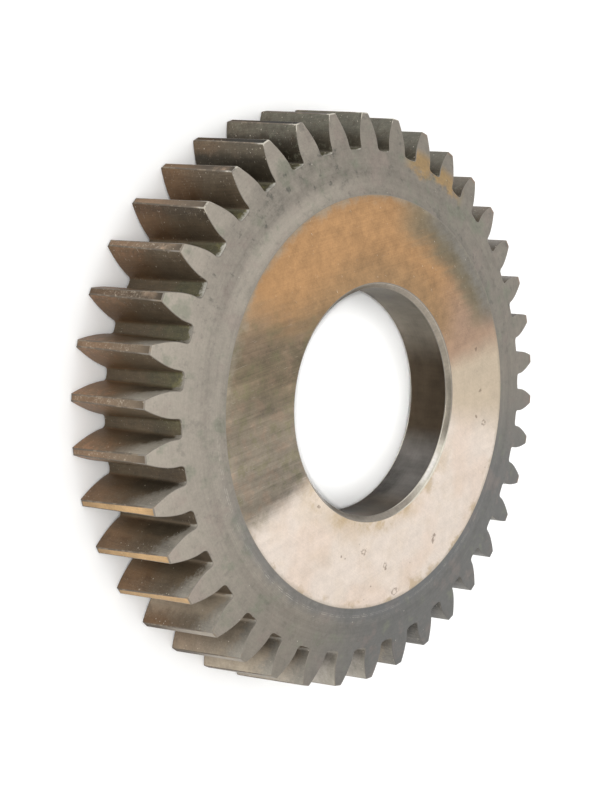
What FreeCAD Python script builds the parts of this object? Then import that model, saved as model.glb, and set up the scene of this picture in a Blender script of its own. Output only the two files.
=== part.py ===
import FreeCAD, Part
import math
import os

# Straight-toothed disc gear shaper cutter. It lies on its cutting edges, bore axis along +Z,
# reference face up. Lengths in mm, angles in degrees.

# Tooth system
module = 2.0
tooth_count = 38
pressure_angle = 20.0
front_shift = 0.31          # profile shift at the cutting edges, in modules
tip_factor = 1.25           # tooth height above the shifted pitch circle, in modules
depth_factor = 2.5          # whole tooth depth, in modules
root_fillet = 0.55          # radius in the corners of each tooth gap
relief_angle = 6.0          # the tip cone narrows by this much towards the reference face
rake_angle = 5.0            # hollow of the cutting face

# Body
overall_height = 15.0       # cutting edges to reference face
hub_thickness = 8.0         # web between the reference face and the clamping face
bore_diameter = 31.743
bore_chamfer = 0.7
reference_diameter = 57.2   # ground flat on the upper side
back_cone_angle = 10.5      # the unground rim falls away from the reference face
recess_diameter = 50.0      # nut recess in the cutting side
recess_corner = 0.8         # bevel between the recess wall and its floor
recess_edge = 0.4           # chamfer at the mouth of the recess

# Derived sizes
pitch_radius = module * tooth_count / 2.0
base_radius = pitch_radius * math.cos(math.radians(pressure_angle))
front_tip_radius = pitch_radius + (tip_factor + front_shift) * module
tooth_depth = depth_factor * module
relief_slope = math.tan(math.radians(relief_angle))
rake_slope = math.tan(math.radians(rake_angle))
back_slope = math.tan(math.radians(back_cone_angle))
bore_radius = bore_diameter / 2.0
reference_radius = reference_diameter / 2.0
recess_radius = recess_diameter / 2.0
recess_floor = overall_height - hub_thickness
overshoot = 0.5             # the toothed prism runs past the blank by this much at either end
tip_overshoot = 0.12 * module
flank_spans = 4             # stretches of the curve that follows each involute
fillet_flats = 4            # narrow flats that follow the arc of each root fillet


def involute(angle):
    """Involute function of a pressure angle in radians."""
    return math.tan(angle) - angle


def tip_radius(z):
    """Radius of the tip cone at height z."""
    return front_tip_radius - relief_slope * z


def half_angle(radius, z):
    """Half of one tooth's angular thickness at a radius, at height z."""
    shift = front_shift - relief_slope * z / module
    flat = math.radians(pressure_angle)
    thickness = module * (math.pi / 2.0 + 2.0 * shift * math.tan(flat))
    angle = thickness / (2.0 * pitch_radius) + involute(flat)
    if radius > base_radius:
        angle -= involute(math.acos(base_radius / radius))
    return angle


def polar(radius, angle, z):
    return FreeCAD.Vector(radius * math.cos(angle), radius * math.sin(angle), z)


def flank_point(radius, z):
    """Point on the upper flank of the tooth that stands on the X axis."""
    return polar(radius, half_angle(radius, z), z)


def nearest_on_flank(centre, z, low, high):
    """Radius at which the flank passes closest to a point."""
    for _ in range(60):
        a = low + (high - low) * 0.382
        b = low + (high - low) * 0.618
        if (flank_point(a, z) - centre).Length < (flank_point(b, z) - centre).Length:
            high = b
        else:
            low = a
    return 0.5 * (low + high)


def fillet_seat(root_radius, z):
    """Centre angle of the root fillet and the radius where it meets the flank."""
    low = half_angle(root_radius, z)
    high = low + 4.0 * root_fillet / root_radius
    meeting = root_radius + root_fillet
    for _ in range(60):
        angle = 0.5 * (low + high)
        centre = polar(root_radius + root_fillet, angle, z)
        meeting = nearest_on_flank(centre, z, root_radius, root_radius + 3.0 * root_fillet)
        if (flank_point(meeting, z) - centre).Length < root_fillet:
            low = angle
        else:
            high = angle
    return angle, meeting


def flats(points):
    """Straight pieces from each point to the next."""
    return [Part.LineSegment(a, b) for a, b in zip(points, points[1:])]


def tooth_edges(z):
    """Edges of one tooth and the gap after it, for the tooth that stands on the X axis."""
    top = tip_radius(z) + tip_overshoot
    root_radius = tip_radius(z) - tooth_depth
    seat, meeting = fillet_seat(root_radius, z)
    radii = [meeting + (top - meeting) * i / flank_spans for i in range(flank_spans + 1)]
    upper = [flank_point(r, z) for r in radii]
    lower = [FreeCAD.Vector(p.x, -p.y, p.z) for p in upper]
    rising, falling = Part.BSplineCurve(), Part.BSplineCurve()
    rising.interpolate(lower)
    falling.interpolate(upper[::-1])
    centre = polar(root_radius + root_fillet, seat, z)
    inwards = polar(-1.0, seat, 0.0)
    sideways = (upper[0] - centre).normalize()
    middle = centre + (inwards + sideways).normalize() * root_fillet
    floor_start = polar(root_radius, seat, z)
    pitch = 2.0 * math.pi / tooth_count
    near = Part.Arc(upper[0], middle, floor_start).toShape().discretize(fillet_flats + 1)
    far = [polar(math.hypot(p.x, p.y), pitch - math.atan2(p.y, p.x), z) for p in reversed(near)]
    floor = Part.Arc(near[-1], polar(root_radius, pitch / 2.0, z), far[0])
    tip = Part.Arc(lower[-1], polar(top, 0.0, z), upper[-1])
    curves = [rising, tip, falling, *flats(near), floor, *flats(far)]
    return [curve.toShape() for curve in curves]


def outline(z):
    """Closed outline of all the teeth at height z."""
    pattern = tooth_edges(z)
    axis, middle = FreeCAD.Vector(0, 0, 1), FreeCAD.Vector(0, 0, 0)
    edges = []
    for i in range(tooth_count):
        for edge in pattern:
            copy = edge.copy()
            copy.rotate(middle, axis, 360.0 * i / tooth_count)
            edges.append(copy)
    return Part.Wire(Part.__sortEdges__(edges))


def toothed_prism():
    """Solid whose sides are the relieved flanks and gap floors."""
    low, high = outline(-overshoot), outline(overall_height + overshoot)
    return Part.makeLoft([low, high], True, True)


def turned_blank():
    """Turned and ground body of the cutter, before the teeth."""
    def at(radius, z):
        return FreeCAD.Vector(radius, 0.0, z)

    # Back rim: the tip cone meets the back cone.
    rim_height = ((overall_height - back_slope * (front_tip_radius - reference_radius))
                  / (1.0 - back_slope * relief_slope))
    rake_at_recess = (front_tip_radius - recess_radius) * rake_slope
    edge_radius = recess_radius + recess_edge
    edge_height = (front_tip_radius - edge_radius) * rake_slope
    points = [
        at(bore_radius, recess_floor + bore_chamfer),
        at(bore_radius, overall_height - bore_chamfer),
        at(bore_radius + bore_chamfer, overall_height),
        at(reference_radius, overall_height),
        at(tip_radius(rim_height), rim_height),
        at(front_tip_radius, 0.0),
        at(edge_radius, edge_height),
        at(recess_radius, rake_at_recess + recess_edge),
        at(recess_radius, recess_floor - recess_corner),
        at(recess_radius - recess_corner, recess_floor),
        at(bore_radius + bore_chamfer, recess_floor),
    ]
    edges = [Part.makeLine(a, b) for a, b in zip(points, points[1:] + points[:1])]
    section = Part.Face(Part.Wire(edges))
    return section.revolve(FreeCAD.Vector(0, 0, 0), FreeCAD.Vector(0, 0, 1), 360)


def build():
    """The finished cutter, one solid."""
    shape = turned_blank().common(toothed_prism())
    if len(shape.Solids) != 1 or not shape.isValid():
        raise RuntimeError("the cutter did not come out as one sound solid")
    return shape.Solids[0]


os.makedirs("parts", exist_ok=True)
shaper_cutter = build()
shaper_cutter.exportStep("parts/shaper_cutter.step")
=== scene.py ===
"""Looks of the gear shaper cutter: its visible mesh, the finish of every surface, and the studio.

Sizes in the classes are millimetres and degrees, as on the cutter's drawing. Meshes are metres.
The cutter lies on its cutting tips with the ground reference face up and the bore on the Z axis.
"""
import sys
import logging
import math
from dataclasses import dataclass, field
from enum import Enum
from typing import Any, Callable, Optional, Union

import bmesh
import bpy
from mathutils import Matrix, Vector


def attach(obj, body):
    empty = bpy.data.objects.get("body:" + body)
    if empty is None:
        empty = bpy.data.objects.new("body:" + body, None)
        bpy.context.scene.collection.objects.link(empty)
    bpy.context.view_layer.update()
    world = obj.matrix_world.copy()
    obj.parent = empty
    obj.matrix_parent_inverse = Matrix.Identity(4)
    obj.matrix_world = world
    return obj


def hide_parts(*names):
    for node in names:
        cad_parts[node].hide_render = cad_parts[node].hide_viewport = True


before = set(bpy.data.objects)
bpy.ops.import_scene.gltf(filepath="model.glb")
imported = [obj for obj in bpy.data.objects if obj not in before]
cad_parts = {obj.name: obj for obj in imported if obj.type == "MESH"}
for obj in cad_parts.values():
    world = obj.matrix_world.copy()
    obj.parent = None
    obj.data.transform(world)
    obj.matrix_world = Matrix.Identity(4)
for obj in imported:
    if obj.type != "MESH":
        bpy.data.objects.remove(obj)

MM = 0.001
LOG = logging.getLogger("shaper_cutter")
# The studio is this much brighter than even light, so that the pale floor comes out white. Painted tones and
# reflections are dimmed by the same share, so the cutter keeps the tones that its finishes give as seen.
STUDIO_GAIN = 1.25
# Vertices nearer than this, in millimetres, are one vertex.
MERGE_DISTANCE = 0.004

Colour = tuple[float, float, float, float]


def tone(red: float, green: float, blue: float) -> Colour:
    """A colour as a paint shop gives it, 0 to 255, turned into light.

    Args:
        red: Red share as seen on a screen.
        green: Green share.
        blue: Blue share.

    Returns:
        The linear colour with full alpha.
    """
    def light(share: float) -> float:
        """Linear light of one share."""
        value = share / 255.0
        return value / 12.92 if value <= 0.04045 else ((value + 0.055) / 1.055) ** 2.4

    return (light(red), light(green), light(blue), 1.0)


class Zone(Enum):
    """The kinds of surface on the cutter, in the order of the mesh's material slots."""

    REFERENCE = 0
    RIM = 1
    FLANK = 2
    LAND = 3
    BORE = 4
    CHAMFER = 5
    RAKE = 6
    RECESS = 7
    EDGE = 8


# Shader maths

class Signal:
    """A value that changes over a surface, written in sums like a plain number."""

    def __init__(self, painter: "Painter", socket: bpy.types.NodeSocket) -> None:
        """Keeps the socket and the painter that adds nodes for it."""
        self.painter = painter
        self.socket = socket

    def _with(self, operation: str, first: "Value", second: "Value" = 0.0) -> "Signal":
        """The result of one Math node.

        Args:
            operation: Name of the Math node's operation.
            first: Upper input.
            second: Lower input.

        Returns:
            The node's output.
        """
        return self.painter.node("ShaderNodeMath", {"operation": operation}, {0: first, 1: second})

    def __add__(self, other: "Value") -> "Signal":
        """Sum."""
        return self._with("ADD", self, other)

    def __radd__(self, other: "Value") -> "Signal":
        """Sum, the number first."""
        return self._with("ADD", other, self)

    def __sub__(self, other: "Value") -> "Signal":
        """Difference."""
        return self._with("SUBTRACT", self, other)

    def __rsub__(self, other: "Value") -> "Signal":
        """Difference, the number first."""
        return self._with("SUBTRACT", other, self)

    def __mul__(self, other: "Value") -> "Signal":
        """Product."""
        return self._with("MULTIPLY", self, other)

    def __rmul__(self, other: "Value") -> "Signal":
        """Product, the number first."""
        return self._with("MULTIPLY", other, self)

    def __truediv__(self, other: "Value") -> "Signal":
        """Quotient."""
        return self._with("DIVIDE", self, other)

    def __rtruediv__(self, other: "Value") -> "Signal":
        """Quotient, the number first."""
        return self._with("DIVIDE", other, self)

    def __neg__(self) -> "Signal":
        """The value with its sign turned."""
        return self._with("MULTIPLY", self, -1.0)

    def below(self, limit: "Value") -> "Signal":
        """1 where the value is under the limit, 0 elsewhere."""
        return self._with("LESS_THAN", self, limit)

    def smaller(self, other: "Value") -> "Signal":
        """The smaller of two values."""
        return self._with("MINIMUM", self, other)

    def larger(self, other: "Value") -> "Signal":
        """The larger of two values."""
        return self._with("MAXIMUM", self, other)

    def rise(self, low: float, high: float) -> "Signal":
        """A soft step.

        Args:
            low: Value at which the step starts at 0.
            high: Value at which it has reached 1. It may be under low, and the step then falls.

        Returns:
            A value from 0 to 1.
        """
        settings = {"interpolation_type": "SMOOTHSTEP", "clamp": True}
        if low <= high:
            return self.painter.node("ShaderNodeMapRange", settings, {0: self, 1: low, 2: high})
        return self.painter.node(
            "ShaderNodeMapRange", settings, {0: self, 1: high, 2: low, 3: 1.0, 4: 0.0})


Value = Union[float, Signal]
Paint = Union[Colour, Signal]


class Painter:
    """Builds one material's nodes around its Principled shader."""

    def __init__(self, name: str) -> None:
        """Starts an empty material.

        Args:
            name: The material's name.
        """
        self.material = bpy.data.materials.new(name)
        self.material.use_nodes = True
        self.tree = self.material.node_tree
        self.shader = self.tree.nodes["Principled BSDF"]
        self.place = self.tree.nodes.new("ShaderNodeTexCoord")
        scaled = self.vector("SCALE", Signal(self, self.place.outputs["Object"]), amount=1.0 / MM)
        self.at = scaled
        parts = self.tree.nodes.new("ShaderNodeSeparateXYZ")
        self.tree.links.new(scaled.socket, parts.inputs[0])
        self.x, self.y, self.z = (Signal(self, parts.outputs[i]) for i in range(3))
        self.radius = self.vector("LENGTH", self.vector("MULTIPLY", self.at, (1.0, 1.0, 0.0)), output=1)

    def node(self, kind: str, settings: dict[str, Any], inputs: dict[Union[int, str], Any],
             output: int = 0) -> Signal:
        """Adds one node.

        Args:
            kind: Blender's name for the type of node.
            settings: Attributes of the node, set before its sockets.
            inputs: Values or signals by socket number or name.
            output: Number of the output that is wanted.

        Returns:
            That output.
        """
        node = self.tree.nodes.new(kind)
        for name, value in settings.items():
            setattr(node, name, value)
        for key, value in inputs.items():
            if isinstance(value, Signal):
                self.tree.links.new(value.socket, node.inputs[key])
            else:
                node.inputs[key].default_value = value
        return Signal(self, node.outputs[output])

    def vector(self, operation: str, first: Any, second: Any = (0.0, 0.0, 0.0),
               amount: Optional[float] = None, output: int = 0) -> Signal:
        """The result of one Vector Math node.

        Args:
            operation: Name of the operation.
            first: First vector, plain or as a signal.
            second: Second vector.
            amount: Scale, for the operation SCALE.
            output: 0 for the vector, 1 for the number that some operations give.

        Returns:
            The output asked for.
        """
        inputs: dict[Union[int, str], Any] = {0: first, 1: second}
        if amount is not None:
            inputs[3] = amount
        return self.node("ShaderNodeVectorMath", {"operation": operation}, inputs, output)

    def mix(self, share: Value, first: Paint, second: Paint, blend: str = "MIX") -> Signal:
        """Two colours mixed.

        Args:
            share: How much of the second colour there is.
            first: The colour underneath.
            second: The colour laid over it.
            blend: How the second is laid on.

        Returns:
            The mixed colour.
        """
        settings = {"data_type": "RGBA", "blend_type": blend, "clamp_factor": True}
        return self.node("ShaderNodeMix", settings, {0: share, 6: first, 7: second}, output=2)

    def noise(self, size: float, detail: float = 3.0, rough: float = 0.55,
              at: Optional[Signal] = None, seed: float = 0.0) -> Signal:
        """Soft random mottling.

        Args:
            size: Width of its patches in millimetres.
            detail: Number of finer layers.
            rough: Strength of the finer layers.
            at: Where it is read, the plain place if left out.
            seed: Moves the pattern, so that two of one size differ.

        Returns:
            A value round 0.5.
        """
        inputs = {"Vector": at or self.at, "W": seed, "Scale": 1.0 / size,
                  "Detail": detail, "Roughness": rough}
        return self.node("ShaderNodeTexNoise", {"noise_dimensions": "4D"}, inputs)

    def stretched(self, turn: float, long: float, fine: float, seed: float = 0.0,
                  detail: float = 3.0) -> Signal:
        """Straight grinding lines in the XY plane.

        Args:
            turn: Angle from X to the lines, in degrees.
            long: Length of a line in millimetres.
            fine: Its width.
            seed: Moves the pattern.
            detail: Number of finer layers.

        Returns:
            A value round 0.5.
        """
        laid = self.node(
            "ShaderNodeMapping", {"vector_type": "TEXTURE"},
            {"Vector": self.at, "Rotation": (0.0, 0.0, math.radians(turn)), "Scale": (long, fine, fine)})
        return self.noise(1.0, detail=detail, rough=0.6, at=laid, seed=seed)

    def rings(self, fine: float, seed: float = 0.0, detail: float = 3.0) -> Signal:
        """Turning lines that run round the axis.

        Args:
            fine: Width of a line in millimetres.
            seed: Moves the pattern.
            detail: Number of finer layers.

        Returns:
            A value round 0.5.
        """
        laid = self.node("ShaderNodeCombineXYZ", {}, {0: self.radius / fine, 1: self.z / fine, 2: 0.0})
        drift = self.noise(9.0, detail=2.0, seed=seed + 3.0) * 0.8
        moved = self.vector("ADD", laid, self.node("ShaderNodeCombineXYZ", {}, {0: drift, 1: drift, 2: 0.0}))
        return self.noise(1.0, detail=detail, rough=0.55, at=moved, seed=seed)

    def specks(self, spacing: float, size: float, share: float, seed: float = 0.0) -> Signal:
        """Scattered round specks.

        Args:
            spacing: Width of the cells that may hold a speck, in millimetres.
            size: Largest radius of a speck.
            share: Share of the cells that hold one.
            seed: Moves the pattern.

        Returns:
            1 on a speck and 0 elsewhere, with soft edges.
        """
        moved = self.vector("ADD", self.at, (seed * 7.1, seed * 3.7, seed * 5.3))
        inputs = {"Vector": moved, "Scale": 1.0 / spacing}
        near = self.node("ShaderNodeTexVoronoi", {}, inputs) * spacing
        cell = self.node("ShaderNodeTexVoronoi", {}, inputs, output=1)
        chance = self.node("ShaderNodeSeparateColor", {}, {0: cell})
        spread = self.node("ShaderNodeSeparateColor", {}, {0: cell}, output=1)
        reach = size * 0.4 + spread * (size * 0.6)
        return (near / reach).rise(1.0, 0.55) * chance.below(share)

    def along(self, fine: float, long: float, seed: float = 0.0, detail: float = 3.0) -> Signal:
        """Straight marks that run along the axis.

        Args:
            fine: Width of a mark in millimetres.
            long: Its length.
            seed: Moves the pattern.
            detail: Number of finer layers.

        Returns:
            A value round 0.5.
        """
        laid = self.node(
            "ShaderNodeMapping", {"vector_type": "TEXTURE"}, {"Vector": self.at, "Scale": (fine, fine, long)})
        return self.noise(1.0, detail=detail, rough=0.6, at=laid, seed=seed)

    def turned_to(self) -> tuple[Signal, Signal]:
        """Which way the surface faces.

        Returns:
            How far it faces round the disc, towards growing angles, and how far it faces outwards.
        """
        normal = Signal(self, self.place.outputs["Normal"])
        ahead = self.node("ShaderNodeCombineXYZ", {}, {0: -self.y, 1: self.x, 2: 0.0})
        outward = self.vector("MULTIPLY", self.at, (1.0, 1.0, 0.0))
        return (self.vector("DOT_PRODUCT", normal, ahead, output=1) / self.radius,
                self.vector("DOT_PRODUCT", normal, outward, output=1) / self.radius)

    def shaded(self, colour: Paint, shade: Value) -> Signal:
        """A colour made lighter or darker.

        Args:
            colour: The colour.
            shade: 1 leaves it as it is.

        Returns:
            The shaded colour.
        """
        grey = self.node("ShaderNodeCombineColor", {}, {0: shade, 1: shade, 2: shade})
        return self.mix(1.0, colour, grey, "MULTIPLY")

    def facing(self, angle: float, inner: float, outer: float) -> Signal:
        """A soft wedge of the disc.

        Args:
            angle: Direction of its middle, in degrees from X.
            inner: Half width in degrees inside which it is 1.
            outer: Half width in degrees outside which it is 0.

        Returns:
            A value from 0 to 1.
        """
        way = (math.cos(math.radians(angle)), math.sin(math.radians(angle)), 0.0)
        along = self.vector("DOT_PRODUCT", self.at, way, output=1) / self.radius
        return along.rise(math.cos(math.radians(outer)), math.cos(math.radians(inner)))

    def beyond(self, point: tuple[float, float], way: tuple[float, float], soft: float,
               wander: Value = 0.0) -> Signal:
        """The side of a line in the XY plane towards which the way points.

        Args:
            point: A point on the line.
            way: Direction square to the line.
            soft: Width over which the side fades in.
            wander: Millimetres by which the line strays.

        Returns:
            A value from 0 to 1.
        """
        length = math.hypot(*way)
        way = (way[0] / length, way[1] / length)
        level = point[0] * way[0] + point[1] * way[1]
        along = self.x * way[0] + self.y * way[1]
        return (along + wander - level).rise(-soft / 2.0, soft / 2.0)

    def patch(self, centre: tuple[float, float, float], reach: float, soft: float) -> Signal:
        """A soft round patch.

        Args:
            centre: Its middle.
            reach: Radius inside which it is 1.
            soft: Further width over which it fades out.

        Returns:
            A value from 0 to 1.
        """
        away = self.vector("DISTANCE", self.at, centre, output=1)
        return away.rise(reach + soft, reach)

    def ringlets(self, marks: tuple[tuple[float, float, float], ...], ragged: Value,
                 filled: float = 0.0) -> Signal:
        """Small round marks on the XY plane.

        Args:
            marks: X, Y and radius of each.
            ragged: Share of the radius by which the marks stray.
            filled: 0 for open rings, 1 for full blots.

        Returns:
            1 on a mark and 0 elsewhere.
        """
        flat = self.vector("MULTIPLY", self.at, (1.0, 1.0, 0.0))
        nearest: Value = 9.0
        for x, y, reach in marks:
            away = self.vector("DISTANCE", flat, (x, y, 0.0), output=1) / reach
            nearest = away.smaller(nearest)
        strayed = nearest + ragged
        return strayed.rise(0.35, 0.75).larger(filled) * strayed.rise(1.25, 0.85)

    def finish(self, colour: Paint, metallic: Value, roughness: Value, height: Optional[Signal] = None,
               depth: float = 0.01, sheen: float = 0.5) -> bpy.types.Material:
        """Feeds the shader. Painted tones are picked as seen, so they are dimmed by the studio's gain.

        Args:
            colour: Base colour.
            metallic: Share of metal.
            roughness: Roughness.
            height: Height of the fine relief, round 0.5.
            depth: Height in millimetres that one unit of relief stands for.
            sheen: Strength of the clear reflection, 0.5 for bare steel and less under old oil.

        Returns:
            The material.
        """
        if isinstance(colour, Signal):
            colour = self.shaded(colour, 1.0 / STUDIO_GAIN)
            self.shader.inputs["Specular IOR Level"].default_value = sheen / STUDIO_GAIN
        for name, value in (("Base Color", colour), ("Metallic", metallic), ("Roughness", roughness)):
            if isinstance(value, Signal):
                self.tree.links.new(value.socket, self.shader.inputs[name])
            else:
                self.shader.inputs[name].default_value = value
        if height is not None:
            relief = self.node(
                "ShaderNodeBump", {}, {"Strength": 1.0, "Distance": depth * MM, "Height": height})
            self.tree.links.new(relief.socket, self.shader.inputs["Normal"])
        return self.material


# Finishes

@dataclass(frozen=True)
class Finish:
    """What every finish shares."""

    name: str = "steel"

    def paint(self) -> bpy.types.Material:
        """Builds the finish's material."""
        raise NotImplementedError


@dataclass(frozen=True)
class GroundReference(Finish):
    """The ground reference face, with painted reflections for its broad tones: cream, sand, tan and straw
    where it mirrored bright and warm surroundings, olive where it mirrored dark ones.
    """

    name: str = "ground_reference_face"
    cream_reflection: Colour = tone(231, 217, 204)
    blush: Colour = tone(229, 208, 191)
    sand: Colour = tone(201, 184, 161)
    tan: Colour = tone(172, 142, 118)
    straw: Colour = tone(180, 138, 93)
    straw_near_bore: Colour = tone(152, 121, 85)
    olive: Colour = tone(114, 101, 80)
    olive_grey: Colour = tone(131, 121, 106)
    moss: Colour = tone(120, 110, 88)
    film: Colour = tone(142, 134, 118)
    stain: Colour = tone(182, 158, 120)
    pit: Colour = tone(112, 92, 76)
    dust: Colour = tone(238, 228, 212)
    rose: Colour = tone(150, 124, 104)
    lichen: Colour = tone(112, 108, 78)
    haze: Colour = tone(124, 120, 112)
    rings: tuple[tuple[float, float, float], ...] = (
        (20.8, 0.2, 0.42), (22.6, 5.0, 0.34), (26.4, 7.6, 0.50), (1.2, 24.8, 0.40))
    blots: tuple[tuple[float, float, float], ...] = (
        (19.2, 15.2, 0.34), (18.3, 15.5, 0.22), (14.6, -10.0, 0.26), (21.3, -4.4, 0.16), (21.6, -3.6, 0.12),
        (21.9, -5.6, 0.10), (25.6, 2.4, 0.12), (27.4, 1.2, 0.16), (-3.6, 23.0, 0.26), (0.4, 22.8, 0.18),
        (-9.6, 21.0, 0.22), (23.2, 5.2, 0.18))

    def paint(self) -> bpy.types.Material:
        """Builds the finish's material."""
        p = Painter(self.name)
        cloud = p.noise(1.5, detail=5.0, rough=0.62, seed=4.0) - 0.5
        blotch = p.noise(3.6, detail=4.0, rough=0.65, seed=9.0)
        drift = blotch - 0.5
        lines = p.stretched(110.0, 9.0, 0.17, seed=2.0) - 0.5
        broad = p.stretched(111.0, 12.0, 1.1, seed=3.0) - 0.5
        swathe = p.stretched(111.0, 16.0, 3.4, seed=8.0, detail=4.0) - 0.5
        away = -(p.x / p.radius) + drift * 0.10
        # Painted reflection of bright, then warm surroundings: cream turns sandy, then tan past a firmer
        # border, then straw towards -X on the +Y side.
        colour = p.mix(p.noise(8.0, detail=2.0, seed=41.0).rise(0.46, 0.62) * 0.6, self.cream_reflection, self.blush)
        colour = p.mix(away.rise(-0.20, 0.12), colour, self.sand)
        colour = p.mix(away.rise(0.30, 0.50), colour, self.tan)
        colour = p.mix(away.rise(0.60, 0.92).larger(p.facing(205.0, 35.0, 68.0)), colour, self.straw)
        near_bore = (p.radius + drift * 2.5 + broad * 2.0).rise(22.2, 17.2)
        colour = p.mix(near_bore * p.facing(190.0, 50.0, 75.0) * 0.85, colour, self.straw_near_bore)
        rim_moss = (p.radius + drift * 4.0 + broad * 5.0).rise(21.2, 26.2) * p.facing(150.0, 16.0, 34.0)
        colour = p.mix(rim_moss * 0.9, colour, self.moss)
        # Painted reflection of dark surroundings: the olive sector, between two straight borders on the -Y
        # side.
        near_side = p.y.rise(4.0, -4.0)
        olive = (p.beyond((-8.9, -20.5), (13.3, 2.95), 9.0, broad * 8.0)
                 * p.beyond((14.3, -16.6), (-8.0, -5.0), 4.0, drift * 2.0) * near_side)
        sector = p.mix(p.facing(312.0, 6.0, 48.0), self.olive, self.olive_grey)
        colour = p.mix(olive, colour, sector)
        film = (p.radius + drift * 3.0 + cloud * 4.0).rise(27.0, 28.8) * p.facing(226.0, 34.0, 62.0)
        colour = p.mix(film * 0.6, colour, self.film)
        # Browned rim of the bore and stains.
        bare = 1.0 - olive
        hue = p.noise(2.2, detail=4.0, rough=0.65, seed=51.0)
        colour = p.mix(hue.rise(0.50, 0.62) * olive * 0.32, colour, self.rose)
        colour = p.mix(hue.rise(0.48, 0.38) * olive * 0.45, colour, self.lichen)
        border = p.radius + drift * 3.0 + cloud * 3.0 + broad * 2.0
        colour = p.mix(border.rise(22.4, 26.0) * p.facing(143.0, 12.0, 24.0) * 0.65, colour, self.moss)
        colour = p.mix(border.rise(25.0, 28.4) * p.facing(143.0, 14.0, 27.0) * 0.9, colour, self.haze)
        sallow = p.radius.rise(22.0, 17.0) * p.facing(334.0, 10.0, 34.0) * bare
        colour = p.mix(sallow * 0.45, colour, self.sand)
        rust = blotch.rise(0.44, 0.62) * (p.radius.rise(20.4, 16.6) * 0.5 + 0.14) * bare
        colour = p.mix(rust * p.facing(2.0, 46.0, 84.0), colour, self.stain)
        seep = (p.radius + drift * 4.0).rise(19.2, 16.6) * p.facing(6.0, 16.0, 42.0)
        colour = p.mix(seep * (0.25 + (cloud + hue).rise(0.40, 0.66) * 0.5), colour, self.stain)
        crust = (p.radius + drift * 5.0).rise(26.8, 28.6) * p.facing(16.0, 50.0, 80.0) * hue.rise(0.50, 0.62)
        colour = p.mix(crust * 0.6, colour, self.stain)
        worn_edge = (p.radius + cloud * 1.6).rise(28.0, 28.7) * bare
        colour = p.mix(worn_edge * 0.45, colour, self.film)
        # Grinding lines, scratches, pits and dust.
        cross = p.stretched(64.0, 7.0, 0.12, seed=5.0) - 0.5
        grain = p.noise(0.22, detail=3.0, seed=45.0) - 0.5
        warm_reflected = away.rise(0.2, 0.7) * bare
        shade = (1.0 + cloud * (0.34 + warm_reflected * 0.45 + olive * 0.3)
                 + drift * (0.16 + warm_reflected * 0.45 + olive * 0.5)
                 + swathe * (olive * 1.1 + 0.15) + lines * (0.14 + olive * 0.5 + warm_reflected * 0.25)
                 + broad * (0.12 + olive * 0.85) + cross * 0.18 + grain * (0.26 + olive * 0.2 + warm_reflected * 0.2)
                 + olive * (p.radius - 22.5) * 0.022)
        colour = p.shaded(colour, shade)
        scratch = p.stretched(112.0, 2.2, 0.08, seed=11.0, detail=1.0).rise(0.70, 0.78)
        upright = p.stretched(14.0, 6.0, 0.08, seed=12.0, detail=1.0).rise(0.68, 0.76)
        colour = p.mix(scratch * (0.10 + olive * 0.25), colour, self.dust)
        colour = p.mix(upright * bare * 0.25, colour, self.pit)
        stray = (p.noise(0.45, detail=3.0, rough=0.7, seed=47.0) - 0.5) * 4.0
        rings = p.ringlets(self.rings, stray).larger(p.ringlets(self.blots, stray * 1.4, filled=1.0))
        spots = p.specks(1.3, 0.15, 0.14, seed=2.0) * blotch.rise(0.42, 0.56)
        colour = p.mix((rings * 0.9).larger(spots) * 0.66, colour, self.pit)
        colour = p.mix(p.specks(1.5, 0.12, 0.16, seed=6.0) * (0.12 + warm_reflected * 0.8), colour, self.dust)
        dashes = p.stretched(38.0, 1.0, 0.13, seed=61.0, detail=1.0).rise(0.74, 0.80)
        colour = p.mix(dashes * warm_reflected * 0.9, colour, self.dust)
        rough = 0.38 + cloud * 0.18 + lines * 0.14 + rust * 0.1
        return p.finish(colour, 0.55, rough, (lines + cross) * 0.5 - spots * 0.6 - rings * 0.5, 0.003)


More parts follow.
